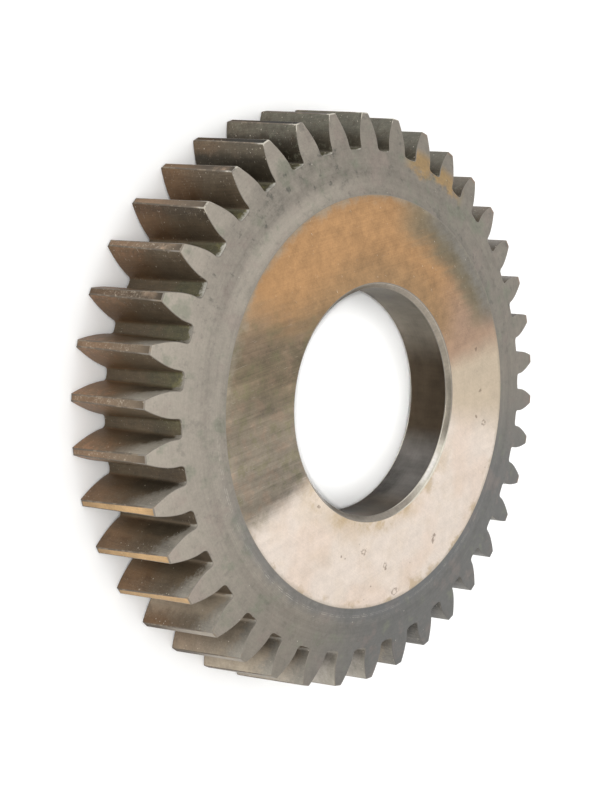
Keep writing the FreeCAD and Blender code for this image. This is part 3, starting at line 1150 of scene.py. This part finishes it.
@dataclass(frozen=True)
class Blank:
    """The turned and ground body that the teeth are cut into."""

    height: float = 15.0
    web: float = 8.0
    bore_diameter: float = 31.743
    bore_chamfer: float = 0.7
    reference_diameter: float = 57.2
    back_cone_angle: float = 10.5
    rake_angle: float = 5.0
    recess_diameter: float = 50.0
    recess_corner: float = 0.8
    recess_edge: float = 0.4
    front_tip_radius: float = 41.12
    reference_loop: float = 22.5
    rake_loop: float = 30.0

    def back_height(self, radius: float) -> float:
        """Height of the back cone."""
        slope = math.tan(math.radians(self.back_cone_angle))
        return self.height - slope * (radius - self.reference_diameter / 2.0)

    def rake_height(self, radius: float) -> float:
        """Height of the hollow cutting face."""
        return (self.front_tip_radius - radius) * math.tan(math.radians(self.rake_angle))

    def rings(self, back_join: float, front_join: float) -> list[tuple[float, float, Zone]]:
        """The turned profile, from the back teeth through the bore to the cutting face.

        Args:
            back_join: Radius where the back cone meets the teeth.
            front_join: Radius where the cutting face meets the teeth.

        Returns:
            Radius and height of each ring, with the zone of the band that ends there.
        """
        bore, floor = self.bore_diameter / 2.0, self.height - self.web
        recess, rim = self.recess_diameter / 2.0, self.recess_diameter / 2.0 + self.recess_edge
        return [
            (back_join, self.back_height(back_join), Zone.RIM),
            (self.reference_diameter / 2.0, self.height, Zone.RIM),
            (self.reference_loop, self.height, Zone.REFERENCE),
            (bore + self.bore_chamfer, self.height, Zone.REFERENCE),
            (bore, self.height - self.bore_chamfer, Zone.CHAMFER),
            (bore, (self.height + floor) / 2.0, Zone.BORE),
            (bore, floor + self.bore_chamfer, Zone.BORE),
            (bore + self.bore_chamfer, floor, Zone.CHAMFER),
            (recess - self.recess_corner, floor, Zone.RECESS),
            (recess, floor - self.recess_corner, Zone.RECESS),
            (recess, self.rake_height(recess) + self.recess_edge, Zone.RECESS),
            (rim, self.rake_height(rim), Zone.RECESS),
            (self.rake_loop, self.rake_height(self.rake_loop), Zone.RAKE),
            (front_join, self.rake_height(front_join), Zone.RAKE),
        ]

    def build(self, sides: int, back_join: float, front_join: float,
              slots: list[bpy.types.Material]) -> bpy.types.Object:
        """Turns the body: a circle is extruded and scaled from ring to ring.

        Args:
            sides: Vertices round each ring.
            back_join: Radius where the back cone meets the teeth.
            front_join: Radius where the cutting face meets the teeth.
            slots: Materials of the zones.

        Returns:
            The open body, without its teeth.
        """
        rings = self.rings(back_join, front_join)
        radius, z, _ = rings[0]
        deselect()
        bpy.ops.mesh.primitive_circle_add(vertices=sides, radius=radius * MM, location=(0.0, 0.0, z * MM))
        body = bpy.context.object
        for slot in slots:
            body.data.materials.append(slot)
        bpy.ops.object.transform_apply(location=True, rotation=True, scale=True)
        bpy.ops.object.mode_set(mode="EDIT")
        bpy.ops.mesh.select_all(action="SELECT")
        for next_radius, next_z, _ in rings[1:]:
            bpy.ops.mesh.extrude_region_move(
                TRANSFORM_OT_translate={"value": (0.0, 0.0, (next_z - z) * MM)})
            share = next_radius / radius
            bpy.ops.transform.resize(value=(share, share, 1.0), center_override=(0.0, 0.0, next_z * MM))
            radius, z = next_radius, next_z
        bpy.ops.object.mode_set(mode="OBJECT")
        self.mark_zones(body, rings)
        return body

    @staticmethod
    def mark_zones(body: bpy.types.Object, rings: list[tuple[float, float, Zone]]) -> None:
        """Gives each face the zone of the band that it lies in.

        Args:
            body: The turned body.
            rings: Its rings.
        """
        bands = [(0.5 * (a[0] + b[0]), 0.5 * (a[1] + b[1]), b[2]) for a, b in zip(rings, rings[1:])]
        for face in body.data.polygons:
            radius, z = math.hypot(face.center.x, face.center.y) / MM, face.center.z / MM
            nearest = min(bands, key=lambda band: math.hypot(band[0] - radius, band[1] - z))
            face.material_index = nearest[2].value


@dataclass(frozen=True)
class Teeth:
    """The ring of teeth, one pitch modelled and copied round."""

    form: ToothForm = field(default_factory=ToothForm)
    blank: Blank = field(default_factory=Blank)
    floor_spans: int = 2
    fillet_spans: int = 5
    flank_spans: int = 10
    land_spans: int = 2
    base_rows: int = 3
    back_join: float = 33.4
    front_join: float = 35.0
    levels: tuple[float, ...] = (0.0, 0.045, 0.12, 0.24, 0.38, 0.52, 0.66, 0.79, 0.90, 0.955, 1.0)
    low: float = -0.5
    high: float = 15.5
    first_guess: float = 7.0

    @property
    def stations(self) -> int:
        """Number of the last station, in the middle of the tooth."""
        return self.floor_spans + self.fillet_spans + self.flank_spans + self.land_spans

    @property
    def sides(self) -> int:
        """Vertices round the circle where the teeth meet the body."""
        return self.form.count * 2 * (self.floor_spans + self.land_spans)

    def rails(self) -> list[tuple[Vector, Vector]]:
        """The straight lines that the flanks are ruled with, lowest and highest point of each."""
        spans = (self.floor_spans, self.fillet_spans, self.flank_spans, self.land_spans)
        return list(zip(self.form.half_outline(self.low, *spans), self.form.half_outline(self.high, *spans)))

    def on_rail(self, rail: tuple[Vector, Vector], z: float) -> Vector:
        """Point of a rail at height z."""
        return rail[0].lerp(rail[1], (z - self.low) / (self.high - self.low))

    def end_height(self, rail: tuple[Vector, Vector], cone: Callable[[float], float]) -> float:
        """Height at which a rail meets one of the end cones.

        Args:
            rail: The rail.
            cone: Height of the cone by radius.

        Returns:
            The height.
        """
        z = cone(self.on_rail(rail, self.first_guess).length)
        for _ in range(12):
            z = cone(self.on_rail(rail, z).length)
        return z

    def sheet(self, name: str, columns: int, rows: int, place: Callable[[int, int], Vector],
              zones: Callable[[int], Zone], slots: list[bpy.types.Material]) -> bpy.types.Object:
        """A grid whose corners are set on the tooth.

        Args:
            name: Name of the sheet.
            columns: Faces along it.
            rows: Faces up it.
            place: Point of a column and row, in millimetres.
            zones: Zone of a column of faces.
            slots: Materials of the zones.

        Returns:
            The sheet.
        """
        deselect()
        bpy.ops.mesh.primitive_grid_add(x_subdivisions=columns, y_subdivisions=rows, size=2.0)
        sheet = bpy.context.object
        sheet.name = name
        for slot in slots:
            sheet.data.materials.append(slot)
        for face in sheet.data.polygons:
            face.material_index = zones(int((face.center.x + 1.0) / 2.0 * columns)).value
        for vertex in sheet.data.vertices:
            column = round((vertex.co.x + 1.0) / 2.0 * columns)
            row = round((vertex.co.y + 1.0) / 2.0 * rows)
            vertex.co = place(column, row) * MM
        return sheet

    def one_pitch(self, slots: list[bpy.types.Material]) -> bpy.types.Object:
        """The tooth on the X axis with half a gap either side.

        Args:
            slots: Materials of the zones.

        Returns:
            The open sheet of one pitch.
        """
        rails, last = self.rails(), self.stations
        ends = {cone: [self.end_height(rail, cone) for rail in rails]
                for cone in (self.blank.rake_height, self.blank.back_height)}
        corner = self.floor_spans + self.fillet_spans + self.flank_spans

        def side_point(column: int, row: int) -> Vector:
            """Corner of the sheet that wraps gap, flanks and tip land."""
            station = column if column <= last else 2 * last - column
            bottom, top = ends[self.blank.rake_height][station], ends[self.blank.back_height][station]
            z = bottom + (top - bottom) * self.levels[row]
            point = self.on_rail(rails[station], z)
            return Vector((point.x, point.y if column >= last else -point.y, z))

        def side_zone(column: int) -> Zone:
            """Zone of a strip of that sheet."""
            return Zone.LAND if corner <= column < 2 * last - corner else Zone.FLANK

        parts = [self.sheet("tooth_sides", 2 * last, len(self.levels) - 1, side_point, side_zone, slots)]
        for cone, join, zone in ((self.blank.rake_height, self.front_join, Zone.RAKE),
                                 (self.blank.back_height, self.back_join, Zone.RIM)):
            polar = []
            for rail, z in zip(rails, ends[cone]):
                point = self.on_rail(rail, z)
                polar.append((point.length, math.atan2(point.y, point.x)))
            parts += self.end_sheets(cone, join, zone, polar, slots)
        pitch = joined(parts, "one_pitch")
        bpy.ops.object.mode_set(mode="EDIT")
        bpy.ops.mesh.select_all(action="SELECT")
        bpy.ops.mesh.remove_doubles(threshold=MERGE_DISTANCE * MM)
        bpy.ops.object.mode_set(mode="OBJECT")
        return pitch

    def end_sheets(self, cone: Callable[[float], float], join: float, zone: Zone,
                   polar: list[tuple[float, float]],
                   slots: list[bpy.types.Material]) -> list[bpy.types.Object]:
        """The two sheets that close one end of the pitch: the tooth's end and its base.

        Args:
            cone: Height of the end's cone by radius.
            join: Radius where the base meets the turned body.
            zone: Zone of the end.
            polar: Radius and angle of every station on the cone.
            slots: Materials of the zones.

        Returns:
            The two sheets.
        """
        across = 2 * self.land_spans
        first = self.floor_spans
        rows = self.fillet_spans + self.flank_spans

        def on_cone(radius: float, angle: float) -> Vector:
            """Point of the cone."""
            return Vector((radius * math.cos(angle), radius * math.sin(angle), cone(radius)))

        def end_point(column: int, row: int) -> Vector:
            """Corner of the tooth's end."""
            radius, angle = polar[first + row]
            return on_cone(radius, angle * (2.0 * column / across - 1.0))

        half = [polar[i][1] for i in range(first)]
        inner = [polar[first][1] * (1.0 - i / self.land_spans) for i in range(self.land_spans + 1)]
        upper = half + inner
        angles = [-a for a in upper[:-1]] + upper[::-1]
        columns = len(angles) - 1

        def base_point(column: int, row: int) -> Vector:
            """Corner of the base."""
            share = row / self.base_rows
            even = self.form.pitch * (column / columns - 0.5)
            radius = join + (polar[first][0] - join) * share
            return on_cone(radius, even + (angles[column] - even) * share)

        return [self.sheet("tooth_end", across, rows, end_point, lambda column: zone, slots),
                self.sheet("tooth_base", columns, self.base_rows, base_point, lambda column: zone, slots)]

    def build(self, slots: list[bpy.types.Material]) -> bpy.types.Object:
        """Copies the pitch round the axis.

        Args:
            slots: Materials of the zones.

        Returns:
            The open ring of teeth.
        """
        ring = self.one_pitch(slots)
        bpy.ops.object.mode_set(mode="EDIT")
        bpy.ops.mesh.select_all(action="SELECT")
        copies = self.form.count - 1
        bpy.ops.mesh.spin(steps=copies, dupli=True, angle=self.form.pitch * copies,
                          center=(0.0, 0.0, 0.0), axis=(0.0, 0.0, 1.0))
        bpy.ops.object.mode_set(mode="OBJECT")
        ring.name = "teeth"
        return ring


@dataclass(frozen=True)
class ShaperCutter:
    """The whole cutter, one piece of high speed steel."""

    teeth: Teeth = field(default_factory=Teeth)
    name: str = "shaper_cutter_finished"
    widest: float = 0.42
    sharp_angle: float = 30.0
    easing: tuple[tuple[frozenset[Zone], float], ...] = (
        (frozenset((Zone.RIM, Zone.FLANK)), 0.08),
        (frozenset((Zone.RIM, Zone.LAND)), 0.14),
        (frozenset((Zone.LAND, Zone.FLANK)), 0.12),
        (frozenset((Zone.RAKE, Zone.FLANK)), 0.07),
        (frozenset((Zone.RAKE, Zone.LAND)), 0.42),
        (frozenset((Zone.REFERENCE, Zone.RIM)), 0.04),
        (frozenset((Zone.REFERENCE, Zone.CHAMFER)), 0.08),
        (frozenset((Zone.CHAMFER, Zone.BORE)), 0.08),
        (frozenset((Zone.CHAMFER, Zone.RECESS)), 0.08),
        (frozenset((Zone.RAKE, Zone.RECESS)), 0.08),
        (frozenset((Zone.RECESS,)), 0.08),
    )

    def build(self) -> bpy.types.Object:
        """Models, eases and dresses the cutter.

        Returns:
            The finished piece.
        """
        slots = finishes()
        teeth = self.teeth
        ring = teeth.build(slots)
        body = teeth.blank.build(teeth.sides, teeth.back_join, teeth.front_join, slots)
        cutter = joined([body, ring], self.name)
        bpy.ops.object.mode_set(mode="EDIT")
        bpy.ops.mesh.select_all(action="SELECT")
        bpy.ops.mesh.remove_doubles(threshold=MERGE_DISTANCE * MM)
        bpy.ops.mesh.normals_make_consistent(inside=False)
        bpy.ops.object.mode_set(mode="OBJECT")
        self.ease_edges(cutter)
        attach(cutter, "root")
        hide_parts("shaper_cutter")
        return cutter

    def ease_edges(self, cutter: bpy.types.Object) -> None:
        """Takes the sharpness off every edge, by as much as its two zones ask.

        Args:
            cutter: The joined mesh.
        """
        shape = bmesh.new()
        shape.from_mesh(cutter.data)
        weight = shape.edges.layers.float.get("bevel_weight_edge") or shape.edges.layers.float.new(
            "bevel_weight_edge")
        widths = dict(self.easing)
        open_edges = 0
        for edge in shape.edges:
            if len(edge.link_faces) != 2:
                open_edges += 1
                continue
            pair = frozenset(Zone(face.material_index) for face in edge.link_faces)
            if len(pair) == 2 or edge.calc_face_angle() > math.radians(self.sharp_angle):
                edge[weight] = widths.get(pair, 0.0) / self.widest
        shape.to_mesh(cutter.data)
        shape.free()
        if open_edges:
            raise RuntimeError(f"{open_edges} edges of the cutter are open")
        deselect()
        cutter.select_set(True)
        bpy.context.view_layer.objects.active = cutter
        bpy.ops.object.shade_smooth()
        bevel = cutter.modifiers.new("easing", "BEVEL")
        bevel.limit_method = "WEIGHT"
        bevel.width = self.widest * MM
        bevel.segments = 3
        bevel.use_clamp_overlap = False
        bevel.miter_outer = "MITER_SHARP"
        bevel.material = Zone.EDGE.value
        weighted = cutter.modifiers.new("flat_faces", "WEIGHTED_NORMAL")
        weighted.mode = "FACE_AREA"
        weighted.weight = 50
        for modifier in (bevel.name, weighted.name):
            bpy.ops.object.modifier_apply(modifier=modifier)


# Studio

@dataclass(frozen=True)
class SoftBox:
    """One soft studio lamp."""

    name: str
    place: tuple[float, float, float]
    aim: tuple[float, float, float]
    width: float
    power: float
    colour: tuple[float, float, float] = (1.0, 1.0, 1.0)
    beam: Optional[float] = None

    def build(self) -> None:
        """Hangs the lamp, with a snoot where it has a beam angle."""
        lamp = bpy.data.lights.new(self.name, "SPOT" if self.beam else "AREA")
        lamp.energy, lamp.color = self.power, self.colour
        if self.beam:
            lamp.spot_size, lamp.spot_blend = math.radians(self.beam), 0.6
            lamp.shadow_soft_size = self.width / 2.0 * MM
        else:
            lamp.shape, lamp.size = "DISK", self.width * MM
        holder = bpy.data.objects.new(self.name, lamp)
        bpy.context.scene.collection.objects.link(holder)
        holder.location = Vector(self.place) * MM
        way = Vector(self.aim) - Vector(self.place)
        holder.rotation_euler = way.to_track_quat("-Z", "Y").to_euler()


@dataclass(frozen=True)
class Studio:
    """Pale floor, even pale surroundings, soft lamps and the camera."""

    floor_size: float = 6000.0
    floor_tone: Colour = tone(253, 253, 252)
    sky: Colour = (1.0, 1.0, 1.0, 1.0)
    sky_strength: float = 0.84 * STUDIO_GAIN
    camera_place: tuple[float, float, float] = (1.057, -138.829, 134.497)
    camera_right: tuple[float, float, float] = (-0.102958, 0.692239, 0.714286)
    camera_down: tuple[float, float, float] = (0.994566, 0.082773, 0.063140)
    focal_pixels: float = 1319.91
    picture: tuple[int, int] = (600, 800)
    centre_offset: tuple[float, float] = (0.0, -18.16)
    lamps: tuple[SoftBox, ...] = (
        SoftBox("overhead", (-120.0, 160.0, 700.0), (0.0, 0.0, 0.0), 800.0, 0.88),
        SoftBox("front", (10.0, -420.0, 400.0), (0.0, 0.0, 0.0), 480.0, 1.0),
        SoftBox("bore_left", (1.0, -138.0, 134.0), (-6.5, 13.5, 0.0), 12.0, 1.9, beam=6.6),
        SoftBox("bore_right", (1.0, -138.0, 134.0), (6.5, 13.5, 0.0), 12.0, 1.9, beam=6.6),
    )

    def build(self) -> None:
        """Sets up floor, light and camera."""
        self.lay_floor()
        self.light()
        self.set_camera()
        bpy.context.scene.view_settings.view_transform = "Standard"

    def lay_floor(self) -> None:
        """Lays the floor under the cutting tips."""
        deselect()
        bpy.ops.mesh.primitive_plane_add(size=self.floor_size * MM, location=(0.0, 0.0, 0.0))
        floor = bpy.context.object
        floor.name = "studio_floor"
        p = Painter("pale_floor")
        floor.data.materials.append(p.finish(self.floor_tone, 0.0, 0.9 + (p.noise(40.0) - 0.5) * 0.1))

    def light(self) -> None:
        """Lights the world evenly and hangs the lamps."""
        world = bpy.data.worlds.new("pale_surroundings")
        bpy.context.scene.world = world
        world.use_nodes = True
        background = world.node_tree.nodes["Background"]
        background.inputs["Color"].default_value = self.sky
        background.inputs["Strength"].default_value = self.sky_strength
        for lamp in self.lamps:
            lamp.build()

    def set_camera(self) -> None:
        """Places the camera as the photograph was taken, looking down on the lying cutter."""
        long_side = max(self.picture)
        lens = bpy.data.cameras.new("camera")
        lens.sensor_width = 36.0
        lens.lens = self.focal_pixels / long_side * lens.sensor_width
        lens.shift_x = -self.centre_offset[0] / long_side
        lens.shift_y = self.centre_offset[1] / long_side
        lens.clip_start, lens.clip_end = 0.005, 20.0
        camera = bpy.data.objects.new("camera", lens)
        bpy.context.scene.collection.objects.link(camera)
        right = Vector(self.camera_right).normalized()
        up = -Vector(self.camera_down).normalized()
        back = right.cross(up).normalized()
        up = back.cross(right)
        turn = Matrix((right, up, back)).transposed()
        camera.matrix_world = Matrix.Translation(Vector(self.camera_place) * MM) @ turn.to_4x4()
        bpy.context.scene.camera = camera


def main() -> None:
    """Builds the cutter and its studio."""
    logging.basicConfig(level=logging.INFO, format="%(name)s: %(message)s", stream=sys.stdout)
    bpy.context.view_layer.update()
    cutter = ShaperCutter().build()
    LOG.info("%s: %d faces, %d zones", cutter.name, len(cutter.data.polygons), len(cutter.data.materials))
    Studio().build()
    LOG.info("studio: floor, lamps and camera")


if __name__ == "__main__":
    main()
